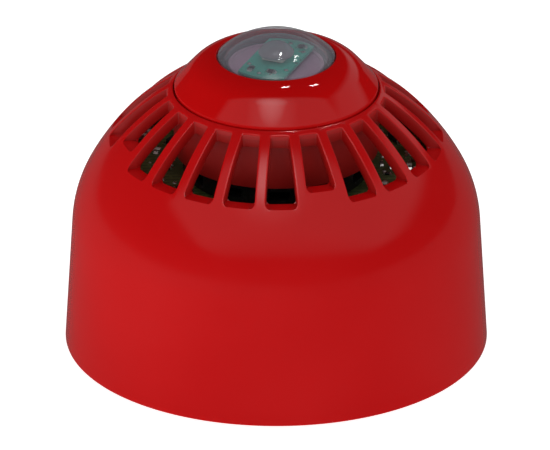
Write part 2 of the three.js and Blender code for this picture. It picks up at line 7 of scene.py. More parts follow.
import bmesh
import bpy
from mathutils import Matrix, Vector

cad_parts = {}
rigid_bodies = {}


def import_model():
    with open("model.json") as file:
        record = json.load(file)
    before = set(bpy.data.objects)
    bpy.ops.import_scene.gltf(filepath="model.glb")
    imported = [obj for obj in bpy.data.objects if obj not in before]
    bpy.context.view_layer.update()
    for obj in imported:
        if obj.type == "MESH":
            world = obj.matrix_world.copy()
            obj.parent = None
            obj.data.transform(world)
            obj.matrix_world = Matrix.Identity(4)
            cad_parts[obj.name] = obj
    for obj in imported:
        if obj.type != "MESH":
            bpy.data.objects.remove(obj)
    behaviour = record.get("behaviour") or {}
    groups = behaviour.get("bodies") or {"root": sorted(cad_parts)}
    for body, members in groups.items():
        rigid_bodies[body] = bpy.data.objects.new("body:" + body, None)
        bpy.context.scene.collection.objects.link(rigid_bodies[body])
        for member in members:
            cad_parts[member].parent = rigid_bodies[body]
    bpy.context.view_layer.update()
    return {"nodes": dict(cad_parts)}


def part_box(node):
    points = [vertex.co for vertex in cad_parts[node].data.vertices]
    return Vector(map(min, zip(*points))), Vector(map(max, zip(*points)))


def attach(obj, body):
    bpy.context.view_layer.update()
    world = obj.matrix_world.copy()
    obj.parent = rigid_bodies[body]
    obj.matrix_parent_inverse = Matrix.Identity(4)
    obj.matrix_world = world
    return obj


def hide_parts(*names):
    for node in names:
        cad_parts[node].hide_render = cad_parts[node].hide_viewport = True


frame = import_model()
mm = 0.001


class Wire:  # one output of a node; sums on it add Math nodes
    def __init__(self, finish, socket):
        self.finish = finish
        self.socket = socket

    def maths(self, operation, first, second=0.0):
        return self.finish.maths(operation, first, second)

    def __add__(self, other):
        return self.maths("ADD", self, other)

    def __sub__(self, other):
        return self.maths("SUBTRACT", self, other)

    def __rsub__(self, other):
        return self.maths("SUBTRACT", other, self)

    def __mul__(self, other):
        return self.maths("MULTIPLY", self, other)

    def __truediv__(self, other):
        return self.maths("DIVIDE", self, other)

    def __pow__(self, other):
        return self.maths("POWER", self, other)

    def __gt__(self, other):
        return self.maths("GREATER_THAN", self, other)

    def __lt__(self, other):
        return self.maths("LESS_THAN", self, other)

    __radd__ = __add__
    __rmul__ = __mul__


class Finish:  # a node material, or the world's, under construction
    def __init__(self, name, world=None):
        self.material = world or bpy.data.materials.new(name)
        self.material.use_nodes = True
        self.nodes = self.material.node_tree.nodes
        self.links = self.material.node_tree.links
        self.nodes.clear()
        self.output = self.nodes.new("ShaderNodeOutput" + ("World" if world else "Material"))

    def add(self, kind, settings=None, sockets=None, out=0):
        node = self.nodes.new("ShaderNode" + kind)
        for key, value in (settings or {}).items():
            setattr(node, key, value)
        for key, value in (sockets or {}).items():
            if isinstance(value, Wire):
                self.links.new(value.socket, node.inputs[key])
            else:
                node.inputs[key].default_value = value
        return Wire(self, node.outputs[out])

    def maths(self, operation, first, second=0.0):
        return self.add("Math", {"operation": operation}, {0: first, 1: second})

    def place(self):
        return self.add("TexCoord", out="Object")

    def stretched(self, scale):
        return self.add("Mapping", {}, {"Vector": self.place(), "Scale": scale})

    def noise(self, scale, detail=2.0, at=None):
        return self.add("TexNoise", {}, {"Vector": at or self.place(), "Scale": scale, "Detail": detail})

    def cells(self, scale):
        return self.add("TexVoronoi", {}, {"Vector": self.place(), "Scale": scale}, "Distance")

    def spread(self, value, low, high, newLow=0.0, newHigh=1.0):
        sockets = {"Value": value, "From Min": low, "From Max": high, "To Min": newLow, "To Max": newHigh}
        return self.add("MapRange", {"clamp": True}, sockets)

    def along(self, axis):
        return self.add("SeparateXYZ", {}, {0: self.place()}, axis)

    def blend(self, share, first, second):  # sockets 6 and 7 take the two colours, and output 2 is the colour
        return self.add("Mix", {"data_type": "RGBA"}, {0: share, 6: rgba(first), 7: rgba(second)}, 2)

    def bump(self, height, strength, distance):
        return self.add("Bump", {}, {"Strength": strength, "Distance": distance, "Height": height})

    def shade(self, **sockets):
        named = {key.replace("_", " "): value for key, value in sockets.items()}
        named = {key: rgba(value) if "Color" in key else value for key, value in named.items()}
        return self.add("BsdfPrincipled", {}, named)

    def show(self, surface):
        self.links.new(surface.socket, self.output.inputs["Surface"])
        return self.material


def rgba(colour):
    return colour if isinstance(colour, Wire) or len(colour) == 4 else (*colour, 1)


def finePiece(name, bm, body, finish, stands=(), sharp=38):
    bmesh.ops.remove_doubles(bm, verts=bm.verts, dist=1e-7)
    bmesh.ops.dissolve_degenerate(bm, edges=bm.edges, dist=1e-8)
    bmesh.ops.recalc_face_normals(bm, faces=bm.faces)
    mesh = bpy.data.meshes.new(name)
    bm.to_mesh(mesh)
    bm.free()
    mesh.shade_smooth()
    mesh.set_sharp_from_angle(angle=math.radians(sharp))
    piece = bpy.data.objects.new(name, mesh)
    bpy.context.scene.collection.objects.link(piece)
    mesh.materials.append(finish)
    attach(piece, body)
    if stands:
        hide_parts(*stands)


def polar(radius, angle):
    return radius * math.cos(angle), radius * math.sin(angle)


def arc(centre, radius, start, end, steps):  # slopes in degrees from the horizontal, as on the dome
    points = []
    for i in range(steps + 1):
        slope = math.radians(start + (end - start) * i / steps)
        points.append((centre[0] + radius * math.sin(slope), centre[1] + radius * math.cos(slope)))
    return points


# Rounds the corners of a closed outline: each point is (x, y) or (x, y, radius).
def eased(points, usual=0.0, steps=4):
    made = []
    for i, point in enumerate(points):
        before, after = Vector(points[i - 1][:2]), Vector(points[(i + 1) % len(points)][:2])
        corner = Vector(point[:2])
        radius = point[2] if len(point) > 2 else usual
        back, on = before - corner, after - corner
        short = min(back.length, on.length) < 1e-9
        half = 0.0 if short else back.angle(on) / 2
        if radius <= 0 or short or half > math.radians(85):
            made.append(tuple(corner))
            continue
        reach = min(radius / math.tan(half), back.length * 0.49, on.length * 0.49)
        start, end = corner + back.normalized() * reach, corner + on.normalized() * reach
        for j in range(steps + 1):
            t = j / steps
            made.append(tuple(start * (1 - t) ** 2 + corner * 2 * t * (1 - t) + end * t * t))
    return made


def lathe(outline, columns=144, bm=None, closed=True, middle=(0, 0), first=0.0):
    bm = bm or bmesh.new()
    rows = []
    for radius, height in outline:
        if radius < 1e-6:
            rows.append([bm.verts.new((middle[0] * mm, middle[1] * mm, height * mm))] * columns)
            continue
        row = []
        for i in range(columns):
            x, y = polar(radius, first + 2 * math.pi * i / columns)
            row.append(bm.verts.new(((middle[0] + x) * mm, (middle[1] + y) * mm, height * mm)))
        rows.append(row)
    pairs = list(zip(rows, rows[1:]))
    if closed:
        pairs.append((rows[-1], rows[0]))
    for lower, upper in pairs:
        for i in range(columns):
            j = (i + 1) % columns
            corners = [lower[i], lower[j], upper[j], upper[i]]
            corners = [v for n, v in enumerate(corners) if v not in corners[:n]]
            if len(corners) > 2:
                bm.faces.new(corners)
    return bm


# A flat outline raised from bottom to top with softened rims.
def raised(outline, bottom, top, soft=0.0, bm=None, place=Matrix.Identity(4), steps=2):
    own = bmesh.new()
    face = own.faces.new([own.verts.new((x * mm, y * mm, bottom * mm)) for x, y in outline])
    lifted = bmesh.ops.extrude_face_region(own, geom=[face])
    rising = [v for v in lifted["geom"] if isinstance(v, bmesh.types.BMVert)]
    bmesh.ops.translate(own, verts=rising, vec=(0, 0, (top - bottom) * mm))
    bmesh.ops.recalc_face_normals(own, faces=own.faces)
    if soft > 0:
        rims = [e for e in own.edges if abs(e.verts[0].co.z - e.verts[1].co.z) < 1e-9]
        bmesh.ops.bevel(
            own, geom=rims, offset=soft * mm, segments=steps, affect="EDGES", profile=0.5, clamp_overlap=True
        )
    own.transform(place)
    return joined(own, bm)


def joined(own, bm):
    if bm is None:
        return own
    spare = bpy.data.meshes.new("spare")
    own.to_mesh(spare)
    own.free()
    bm.from_mesh(spare)
    bpy.data.meshes.remove(spare)
    return bm


def rectangle(width, depth):
    across, along = width / 2, depth / 2
    return [(-across, -along), (across, -along), (across, along), (-across, along)]


# A moulded block: rounded upright corners and softened rims.
def block(size, middle, corner=0.3, soft=0.12, bm=None, turn=0.0):
    width, depth, height = size
    x, y, z = middle
    flat = eased(rectangle(width, depth), corner, 3)
    place = Matrix.Translation((x * mm, y * mm, 0)) @ Matrix.Rotation(turn, 4, "Z")
    return raised(flat, z - height / 2, z + height / 2, soft, bm, place)


def circle(radius, points=48):
    return [polar(radius, 2 * math.pi * i / points) for i in range(points)]


# Cuts the other meshes out of the first, and softens the edges that are left.
def carved(bm, cutters, soft=0.0, steps=2, limit=40):
    whole = meshObject("whole", bm)
    for cutter in cutters:
        tool = meshObject("tool", cutter)
        cut = whole.modifiers.new("cut", "BOOLEAN")
        cut.operation, cut.solver, cut.object = "DIFFERENCE", "EXACT", tool
    if soft > 0:
        ease = whole.modifiers.new("ease", "BEVEL")
        ease.width, ease.segments, ease.limit_method = soft * mm, steps, "ANGLE"
        ease.angle_limit = math.radians(limit)
    bpy.context.view_layer.update()
    made = bmesh.new()
    made.from_mesh(whole.evaluated_get(bpy.context.evaluated_depsgraph_get()).to_mesh())
    for spare in [o for o in bpy.data.objects if o.name.startswith(("whole", "tool"))]:
        bpy.data.objects.remove(spare)
    return made


def meshObject(name, bm):
    bmesh.ops.recalc_face_normals(bm, faces=bm.faces)
    mesh = bpy.data.meshes.new(name)
    bm.to_mesh(mesh)
    bm.free()
    made = bpy.data.objects.new(name, mesh)
    bpy.context.scene.collection.objects.link(made)
    return made


def topOf(node):
    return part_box(node)[1].z / mm


def bottomOf(node):
    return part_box(node)[0].z / mm


def heading(turn, rise):  # degrees from the front towards the right, and upwards
    turn, rise = math.radians(turn), math.radians(rise)
    return Vector((math.sin(turn) * math.cos(rise), -math.cos(turn) * math.cos(rise), math.sin(rise)))


camera = {
    "azimuth": -1.8, "elevation": 25.3, "lens": 1200, "sensor": 36, "clip": 50,
    "across": 130.0, "aside": -0.3, "height": 29.2,
}


def makeCamera(look):
    data = bpy.data.cameras.new("camera")
    data.lens, data.sensor_width, data.clip_end = look["lens"], look["sensor"], look["clip"]
    eye = bpy.data.objects.new("camera", data)
    bpy.context.scene.collection.objects.link(eye)
    back = heading(look["azimuth"], look["elevation"])
    distance = look["lens"] * look["across"] / look["sensor"] * mm
    target = Vector((look["aside"] * mm, 0, look["height"] * mm))
    eye.location = target + back * distance
    eye.rotation_mode = "QUATERNION"
    eye.rotation_quaternion = (-back).to_track_quat("-Z", "Y")
    bpy.context.scene.camera = eye


makeCamera(camera)
bpy.context.scene.view_settings.view_transform = "Standard"


# Each lamp: its heading, how far it stands, its size and how bright its face is. These light the part without
# showing in its gloss.
lamps = {
    "farLeft": {"turn": -100, "rise": 5, "far": 1.5, "size": (0.5, 0.24), "glow": 3.2},
    "left": {"turn": -62, "rise": 5, "far": 1.5, "size": (0.4, 0.24), "glow": 2.5},
    "frontLeft": {"turn": -32, "rise": 8, "far": 1.5, "size": (0.4, 0.4), "glow": 1.7},
    "front": {"turn": 0, "rise": 10, "far": 1.5, "size": (0.4, 0.5), "glow": 1.0},
    "frontRight": {"turn": 32, "rise": 8, "far": 1.5, "size": (0.4, 0.4), "glow": 1.2},
    "right": {"turn": 62, "rise": 5, "far": 1.5, "size": (0.4, 0.24), "glow": 2.0},
    "farRight": {"turn": 100, "rise": 5, "far": 1.5, "size": (0.5, 0.24), "glow": 2.5},
    "back": {"turn": 180, "rise": 10, "far": 1.5, "size": (1.2, 0.5), "glow": 3.0},
}
# Two small windows with crossed bars, high behind the part, that show as bright spots in everything glossy.
windows = {
    "toward": [(0.08, 0.29, 0.956), (0.336, 0.302, 0.89)],
    "far": 1.0, "pane": (0.015, 0.036), "bar": 0.014, "glow": 46,
}


def makeLamp(name, way, far, size, glow, mirrored=False, aside=(0, 0)):
    data = bpy.data.lights.new(name, "AREA")
    data.shape, data.size, data.size_y = "RECTANGLE", size[0], size[1]
    data.energy = glow * math.pi * size[0] * size[1]
    data.cycles.use_multiple_importance_sampling = mirrored
    lamp = bpy.data.objects.new(name, data)
    bpy.context.scene.collection.objects.link(lamp)
    lamp.rotation_mode = "QUATERNION"
    lamp.rotation_quaternion = way.to_track_quat("Z", "Y")
    lamp.location = way * far + lamp.rotation_quaternion @ Vector((*aside, 0))
    lamp.visible_glossy = mirrored
    lamp.visible_camera = False


for name, lamp in lamps.items():
    makeLamp(name, heading(lamp["turn"], lamp["rise"]), lamp["far"], lamp["size"], lamp["glow"])
for number, toward in enumerate(windows["toward"]):
    wide, tall = windows["pane"]
    for across in (-1, 1):
        for up in (-1, 1):
            aside = (across * (wide + windows["bar"]) / 2, up * (tall + windows["bar"]) / 2)
            way = Vector(toward).normalized()
            makeLamp(f"window{number}", way, windows["far"], (wide, tall), windows["glow"], True, aside)

# The room: white to the eye, soft in the shade, and in the gloss a pale ceiling with dark walls.
room = {
    "eye": 1.0, "shade": 0.46, "walls": 0.012, "ceiling": 0.42,
    "bright": [
        {"at": (-0.1, -0.6), "spread": 0.5, "glow": 0.5},
        {"at": (-0.1, -0.48), "spread": 0.3, "glow": 2.4},
    ],
    "left": (-1.62, -1.48), "right": (2.4, 3.2), "front": (-2.3, -1.2),
    "back": (-0.26, -0.14), "backEnd": (1.0, 1.4),
    "rim": (0.08, 0.2),
}


def makeRoom(look):
    world = bpy.data.worlds.new("room")
    bpy.context.scene.world = world
    air = Finish("room", world)
    way = air.add("TexCoord", out="Generated")
    sideways, onward, up = (air.add("SeparateXYZ", {}, {0: way}, axis) for axis in range(3))
    height = air.maths("MAXIMUM", up, 0.02)
    across, along = sideways / height, onward / height
    ceiling = air.spread(across, *look["left"]) * (1 - air.spread(across, *look["right"]))
    behind = air.spread(along, *look["back"]) * (1 - air.spread(across, *look["backEnd"]))
    ceiling = ceiling * air.spread(along, *look["front"]) * (1 - behind)
    ceiling = ceiling * air.spread(up, *look["rim"])
    glow = look["ceiling"]
    for patch in look["bright"]:
        off = (across - patch["at"][0]) ** 2 + (along - patch["at"][1]) ** 2
        glow = glow + air.maths("MAXIMUM", 1 - off / patch["spread"] ** 2, 0.0) * patch["glow"]
    mirrored = ceiling * glow + look["walls"]
    parts = {"gloss": air.add("Background", {}, {"Strength": mirrored})}
    for key in ("eye", "shade"):
        parts[key] = air.add("Background", {}, {"Color": (1, 1, 1, 1), "Strength": look[key]})
    glossy, seen = air.add("LightPath", out="Is Glossy Ray"), air.add("LightPath", out="Is Camera Ray")
    unseen = air.add("MixShader", {}, {0: glossy, 1: parts["shade"], 2: parts["gloss"]})
    air.show(air.add("MixShader", {}, {0: seen, 1: unseen, 2: parts["eye"]}))


makeRoom(room)

floorLook = {
    "size": 12.0, "level": -0.0002, "white": 0.93, "paint": 0.6,
    "bounce": 0.43, "leftBounce": 1.12, "leftFrom": 0.1, "leftTo": -0.3,
    "gloss": 0.05, "sideGloss": 0.05, "sideFrom": 0.6, "sideTo": 1.7,
}


def makeFloor(look):
    bm = bmesh.new()
    bm.faces.new([bm.verts.new((x, y, look["level"])) for x, y in rectangle(look["size"], look["size"])])
    mesh = bpy.data.meshes.new("floor")
    bm.to_mesh(mesh)
    bm.free()
    floor = bpy.data.objects.new("floor", mesh)
    bpy.context.scene.collection.objects.link(floor)
    paint = Finish("paleFloor")
    seen = paint.add("LightPath", out="Is Camera Ray")
    lit = paint.add("BsdfDiffuse", {}, {"Color": rgba([look["paint"]] * 3)})
    glow = paint.add("Emission", {}, {"Color": (1, 1, 1, 1), "Strength": look["white"]})
    both = paint.add("AddShader", {}, {0: lit, 1: glow})
    mirrored = paint.add("LightPath", out="Is Glossy Ray")
    spot = paint.add("NewGeometry", out="Position")
    x, y = (paint.add("SeparateXYZ", {}, {0: spot}, axis) for axis in range(2))
    aside = paint.maths("ABSOLUTE", x) / paint.maths("MAXIMUM", y * -1, 0.001)
    sheen = look["gloss"] + paint.spread(aside, look["sideFrom"], look["sideTo"]) * look["sideGloss"]
    dim = paint.add("Emission", {}, {"Color": (1, 1, 1, 1), "Strength": sheen})
    lift = look["bounce"] + paint.spread(x, look["leftFrom"], look["leftTo"]) * look["leftBounce"]
    bounced = paint.add("Emission", {}, {"Color": (1, 1, 1, 1), "Strength": lift})
    lifted = paint.add("AddShader", {}, {0: lit, 1: bounced})
    other = paint.add("MixShader", {}, {0: mirrored, 1: lifted, 2: dim})
    mesh.materials.append(paint.show(paint.add("MixShader", {}, {0: seen, 1: other, 2: both})))


makeFloor(floorLook)
print("camera, lamps and floor set")


# A moulded plastic: its colour a little clouded, its gloss uneven, with a fine grain.
def moulded(name, colour, rough, grain=900, relief=0.02, mottle=0.05, dust=0.0, recessShade=None):
    look = Finish(name)
    cloud = look.noise(38, 3)
    fine = look.noise(grain, 2)
    deeper = tuple(part * (1 - mottle * 2) for part in colour)
    paint = look.blend(look.spread(cloud, 0.35, 0.65), deeper, colour)
    if dust:  # a few pale specks, gathered in drifts
        speck, drift = look.cells(260) < 0.055, look.spread(look.noise(90), 0.58, 0.66)
        paint = look.blend(speck * drift * dust, paint, (0.75, 0.62, 0.6))
    wear = rough + (cloud - 0.5) * rough * 0.5 + (fine - 0.5) * rough * 0.25
    if recessShade:  # rougher, and darkened with painted shade, round the tube, at the slots' inner ends and on their sides
        x, y, z = (look.along(axis) for axis in range(3))
        radius = look.maths("SQRT", x * x + y * y)
        up = look.add("SeparateXYZ", {}, {0: look.add("NewGeometry", out="Normal")}, 2)
        tubeSide = (radius < recessShade["tubeRadius"]) * (z < recessShade["tubeTop"])
        slotSide = (radius < recessShade["slotRadius"]) * (z > recessShade["slotFoot"]) * (up < recessShade["steep"])
        paint = look.blend(slotSide * recessShade["share"], paint, recessShade["colour"])
        paint = look.blend(tubeSide, paint, recessShade["colour"])
        wear = wear + look.maths("MAXIMUM", tubeSide, slotSide) * recessShade["dull"]
    normal = look.bump(fine, relief, 0.0002)
    return look.show(look.shade(Base_Color=paint, Roughness=wear, Normal=normal))


# The red body is darkened with painted shade inside the tube and on the slots' sides.
redBody = moulded("redBody", (0.60, 0.0036, 0.0045), 0.14, 600, 0.008, 0.02, recessShade={
    "tubeRadius": 0.026, "tubeTop": 0.0632, "slotRadius": 0.0393, "slotFoot": 0.047, "steep": 0.4,
    "share": 0.6, "dull": 0.3,
    "colour": (0.42, 0.009, 0.007),
})
redCap = moulded("redCap", (0.60, 0.0036, 0.004), 0.04, 500, 0.003, 0.02, dust=0.5)
blackShell = moulded("blackShell", (0.012, 0.011, 0.012), 0.22, 1500, 0.06)
blackCover = moulded("blackCover", (0.018, 0.018, 0.020), 0.45, 2200, 0.14)
blackSeal = moulded("blackSeal", (0.013, 0.013, 0.014), 0.72, 2600, 0.18)
mauveCarrier = moulded("mauveCarrier", (0.64, 0.38, 0.52), 0.42, 1200, 0.06, 0.09)
greyRing = moulded("greyRing", (0.30, 0.21, 0.225), 0.5, 1200, 0.06, 0.09)
whitePlastic = moulded("whitePlastic", (0.78, 0.76, 0.70), 0.38, 1500, 0.05)
blueHousing = moulded("blueHousing", (0.022, 0.075, 0.26), 0.4, 1500, 0.07)
redSheath = moulded("redSheath", (0.30, 0.012, 0.014), 0.55, 1800, 0.08)
chipCase = moulded("chipCase", (0.014, 0.014, 0.016), 0.5, 3200, 0.22)
ferrite = moulded("ferrite", (0.045, 0.040, 0.038), 0.78, 2800, 0.3)


# A metal: brushed along one way, with patches of tarnish.
def metal(name, colour, rough, streak=(1500, 1500, 60), tarnish=0.3):
    look = Finish(name)
    brushed = look.noise(1, 2, at=look.stretched(streak))
    patch = look.spread(look.noise(220, 4), 0.45, 0.7)
    dull = tuple(part * 0.55 for part in colour)
    paint = look.blend(patch * tarnish, colour, dull)
    wear = rough + (brushed - 0.5) * 0.16 + patch * tarnish * 0.3
    normal = look.bump(brushed, 0.06, 0.0001)
    return look.show(look.shade(Base_Color=paint, Roughness=wear, Metallic=1.0, Normal=normal))


steel = metal("steel", (0.62, 0.62, 0.63), 0.3)
brass = metal("brass", (0.70, 0.50, 0.20), 0.32)
tin = metal("tin", (0.74, 0.73, 0.71), 0.28, (900, 900, 900), 0.4)


# Solder mask over copper runs: the runs are a shade lighter and stand up a little.
def solderMask(name, mask, run, bare, scale=260):
    look = Finish(name)
    at = look.place()
    blocks = look.add("TexBrick", {"offset": 0.37}, {
        "Vector": at, "Scale": scale, "Mortar Size": 0.10, "Mortar Smooth": 0.1,
        "Brick Width": 1.3, "Row Height": 0.42,
    }, "Fac")
    bends = look.spread(look.noise(170, 1), 0.46, 0.5)
    runs = blocks * bends
    holes = look.cells(430) < 0.16
    chosen = look.noise(120, 1) > 0.52
    vias = holes * chosen
    paint = look.blend(runs, mask, run)
    paint = look.blend(vias, paint, bare)
    rough = look.spread(look.noise(900), 0.3, 0.7, 0.30, 0.42) - vias * 0.1
    normal = look.bump(runs * 0.6 + vias, 0.35, 0.00006)
    return look.show(look.shade(Base_Color=paint, Roughness=rough, Metallic=vias * 0.8, Normal=normal))


boardMask = solderMask("boardMask", (0.052, 0.075, 0.022), (0.105, 0.14, 0.045), (0.55, 0.52, 0.38))
strobeMask = solderMask("strobeMask", (0.03, 0.47, 0.35), (0.06, 0.55, 0.42), (0.55, 0.55, 0.5), 420)


def sleeve(name, colour, pale):
    look = Finish(name)
    cloud = look.noise(150, 3)
    paint = look.blend(look.spread(cloud, 0.4, 0.6) * 0.25, colour, pale)
    normal = look.bump(look.noise(1400), 0.05, 0.0001)
    rough = look.spread(cloud, 0.3, 0.7, 0.26, 0.4)
    return look.show(look.shade(Base_Color=paint, Roughness=rough, Normal=normal))


capacitorSleeve = sleeve("capacitorSleeve", (0.016, 0.02, 0.03), (0.03, 0.035, 0.05))


def ceramic(name, colour):
    look = Finish(name)
    speckle = look.spread(look.noise(2600, 2), 0.4, 0.65)
    paint = look.blend(speckle * 0.3, colour, tuple(part * 0.8 for part in colour))
    normal = look.bump(look.noise(3000), 0.08, 0.0001)
    return look.show(look.shade(Base_Color=paint, Roughness=0.34 + speckle * 0.12, Normal=normal))


paleCeramic = ceramic("paleCeramic", (0.68, 0.64, 0.58))
phosphor = ceramic("phosphor", (0.34, 0.27, 0.17))


# Clear moulding that doesn't bend what is behind it: a tinted window under a clouding and a mirror skin. Both
# grow towards the rim.
def clearMoulding(name, through, rimTint, mirror, milk, rimHaze, rimPower, rough=0.012):
    look = Finish(name)
    facing = look.add("LayerWeight", {}, {"Blend": 0.5}, "Facing")
    skin = mirror + facing ** 5 * (1 - mirror)
    window = look.add("BsdfTransparent", {}, {"Color": rgba(through)})
    smear = look.spread(look.noise(160, 3), 0.35, 0.75, rough, rough + 0.02)
    normal = look.bump(look.noise(240, 2), 0.012, 0.0002)
    haze = look.shade(Base_Color=rimTint, Roughness=0.35)
    mirrorSkin = look.shade(Base_Color=(1, 1, 1), Metallic=1.0, Roughness=smear, Normal=normal)
    cloudy = facing ** rimPower * (rimHaze - milk) + milk
    veiled = look.add("MixShader", {}, {0: cloudy, 1: window, 2: haze})
    return look.show(look.add("MixShader", {}, {0: skin, 1: veiled, 2: mirrorSkin}))


clearLens = clearMoulding("clearLens", (0.95, 0.96, 0.97), (0.50, 0.48, 0.55), 0.035, 0.12, 0.6, 2.6)
clearOptic = clearMoulding("clearOptic", (0.86, 0.86, 0.88), (0.46, 0.41, 0.45), 0.06, 0.5, 0.75, 1.6)
print("finishes mixed:", len(bpy.data.materials))

dome = {
    "footRadius": 50, "footGap": 0.4, "skirtHeight": 31, "skirtDraft": 1.8,
    "lowerArc": 30, "upperArc": 58, "arcMeet": 62, "wall": 2.7, "recessRadius": 24.35,
    "edge": 0.3, "footEdge": 0.6, "columns": 12,
}
slot = {
    "count": 24, "innerRadius": 25.7, "sillRadius": 39.4,
    "shortSillRadius": 37, "shortEvery": 6, "shortFirst": 1,
    "rib": 2.5, "outerCorner": 1.3, "innerCorner": 0.35, "edge": 0.28, "floorEdge": 0.22,
    "outerReach": 42.0, "innerReach": 38.6, "rows": 16,
    "turnOver": 0.8, "ledgeEnd": 1.5, "ledgeEdge": 0.12,
}
tube = {"outer": 24.2, "inner": 21.6, "notch": 4.0}
plugDepth, clearance = 6.5, 0.3  # the cap's plug hangs below the seat it rests on

skirtTop = (dome["footRadius"] - dome["skirtDraft"], dome["skirtHeight"])
skirtSlope = math.degrees(math.atan2(dome["skirtHeight"], dome["skirtDraft"]))


def arcCentre(point, radius, slope):
    lean = math.radians(slope)
    return point[0] - radius * math.sin(lean), point[1] - radius * math.cos(lean)


lowerCentre = arcCentre(skirtTop, dome["lowerArc"], skirtSlope)
arcsMeet = arc(lowerCentre, dome["lowerArc"], dome["arcMeet"], dome["arcMeet"], 1)[0]
upperCentre = arcCentre(arcsMeet, dome["upperArc"], dome["arcMeet"])


def crownHeight(radius, inset=0.0):
    return upperCentre[1] + math.sqrt((dome["upperArc"] - inset) ** 2 - (radius - upperCentre[0]) ** 2)


def crownSlope(radius, inset=0.0):
    return math.degrees(math.asin((radius - upperCentre[0]) / (dome["upperArc"] - inset)))


def insideRadiusAt(height):  # where the inner face of the crown has that height
    reach = dome["upperArc"] - dome["wall"]
    return upperCentre[0] + math.sqrt(reach ** 2 - (height - upperCentre[1]) ** 2)


def skirtInside(height):
    outside = dome["footRadius"] - dome["skirtDraft"] * height / dome["skirtHeight"]
    return outside - dome["wall"] / math.sin(math.radians(skirtSlope))


seatHeight = bottomOf("bezel_cap") + plugDepth - clearance
tubeBottom = topOf("sounder_capsule") + clearance
halfPitch = math.pi / slot["count"]


# Half of a slot's plan, from the middle of its sill to the middle of its inner end. The rib beside it has the
# same width all along.
def slotHalf(sill):
    halfRib, corner, small = slot["rib"] / 2, slot["outerCorner"], slot["innerCorner"]
    along = Vector(polar(1, halfPitch))
    inward = Vector((math.sin(halfPitch), -math.cos(halfPitch)))

    def ribSide(distance, off):
        return along * distance + inward * off

    cornerAt = ribSide(math.sqrt((sill - corner) ** 2 - (halfRib + corner) ** 2), halfRib + corner)
    sideEnd = cornerAt.dot(along)
    sillEnd = math.atan2(cornerAt.y, cornerAt.x)
    points = [Vector(polar(sill, sillEnd * i / 3)) for i in range(3)]
    startAngle, endAngle = sillEnd, math.atan2(-inward.y, -inward.x)
    for i in range(7):
        points.append(cornerAt + Vector(polar(corner, startAngle + (endAngle - startAngle) * i / 6)))
    innerX = slot["innerRadius"] + small
    smallDistance = (innerX - (halfRib + small) * math.sin(halfPitch)) / math.cos(halfPitch)
    smallAt = ribSide(smallDistance, halfRib + small)
    straight = slot["rows"] - 5
    for i in range(1, straight):
        points.append(ribSide(sideEnd + (smallDistance - sideEnd) * i / straight, halfRib))
    for i in range(5):
        points.append(smallAt + Vector(polar(small, endAngle + (math.pi - endAngle) * i / 4)))
    for i in range(1, 5):
        points.append(Vector((slot["innerRadius"], smallAt.y * (1 - i / 4))))
    return points


def mirroredLoop(half):  # the half loop, then its mirror image back to the start
    return half + [Vector((p.x, -p.y)) for p in reversed(half[1:-1])]


def rimHalf(outer, inner, rows):  # the sector's own edge, point for point beside the slot's plan
    points = [Vector((outer, halfPitch * i / 6)) for i in range(6)]
    points += [Vector((outer + (inner - outer) * i / rows, halfPitch)) for i in range(rows)]
    points += [Vector((inner, halfPitch * (1 - i / 6))) for i in range(7)]
    return points


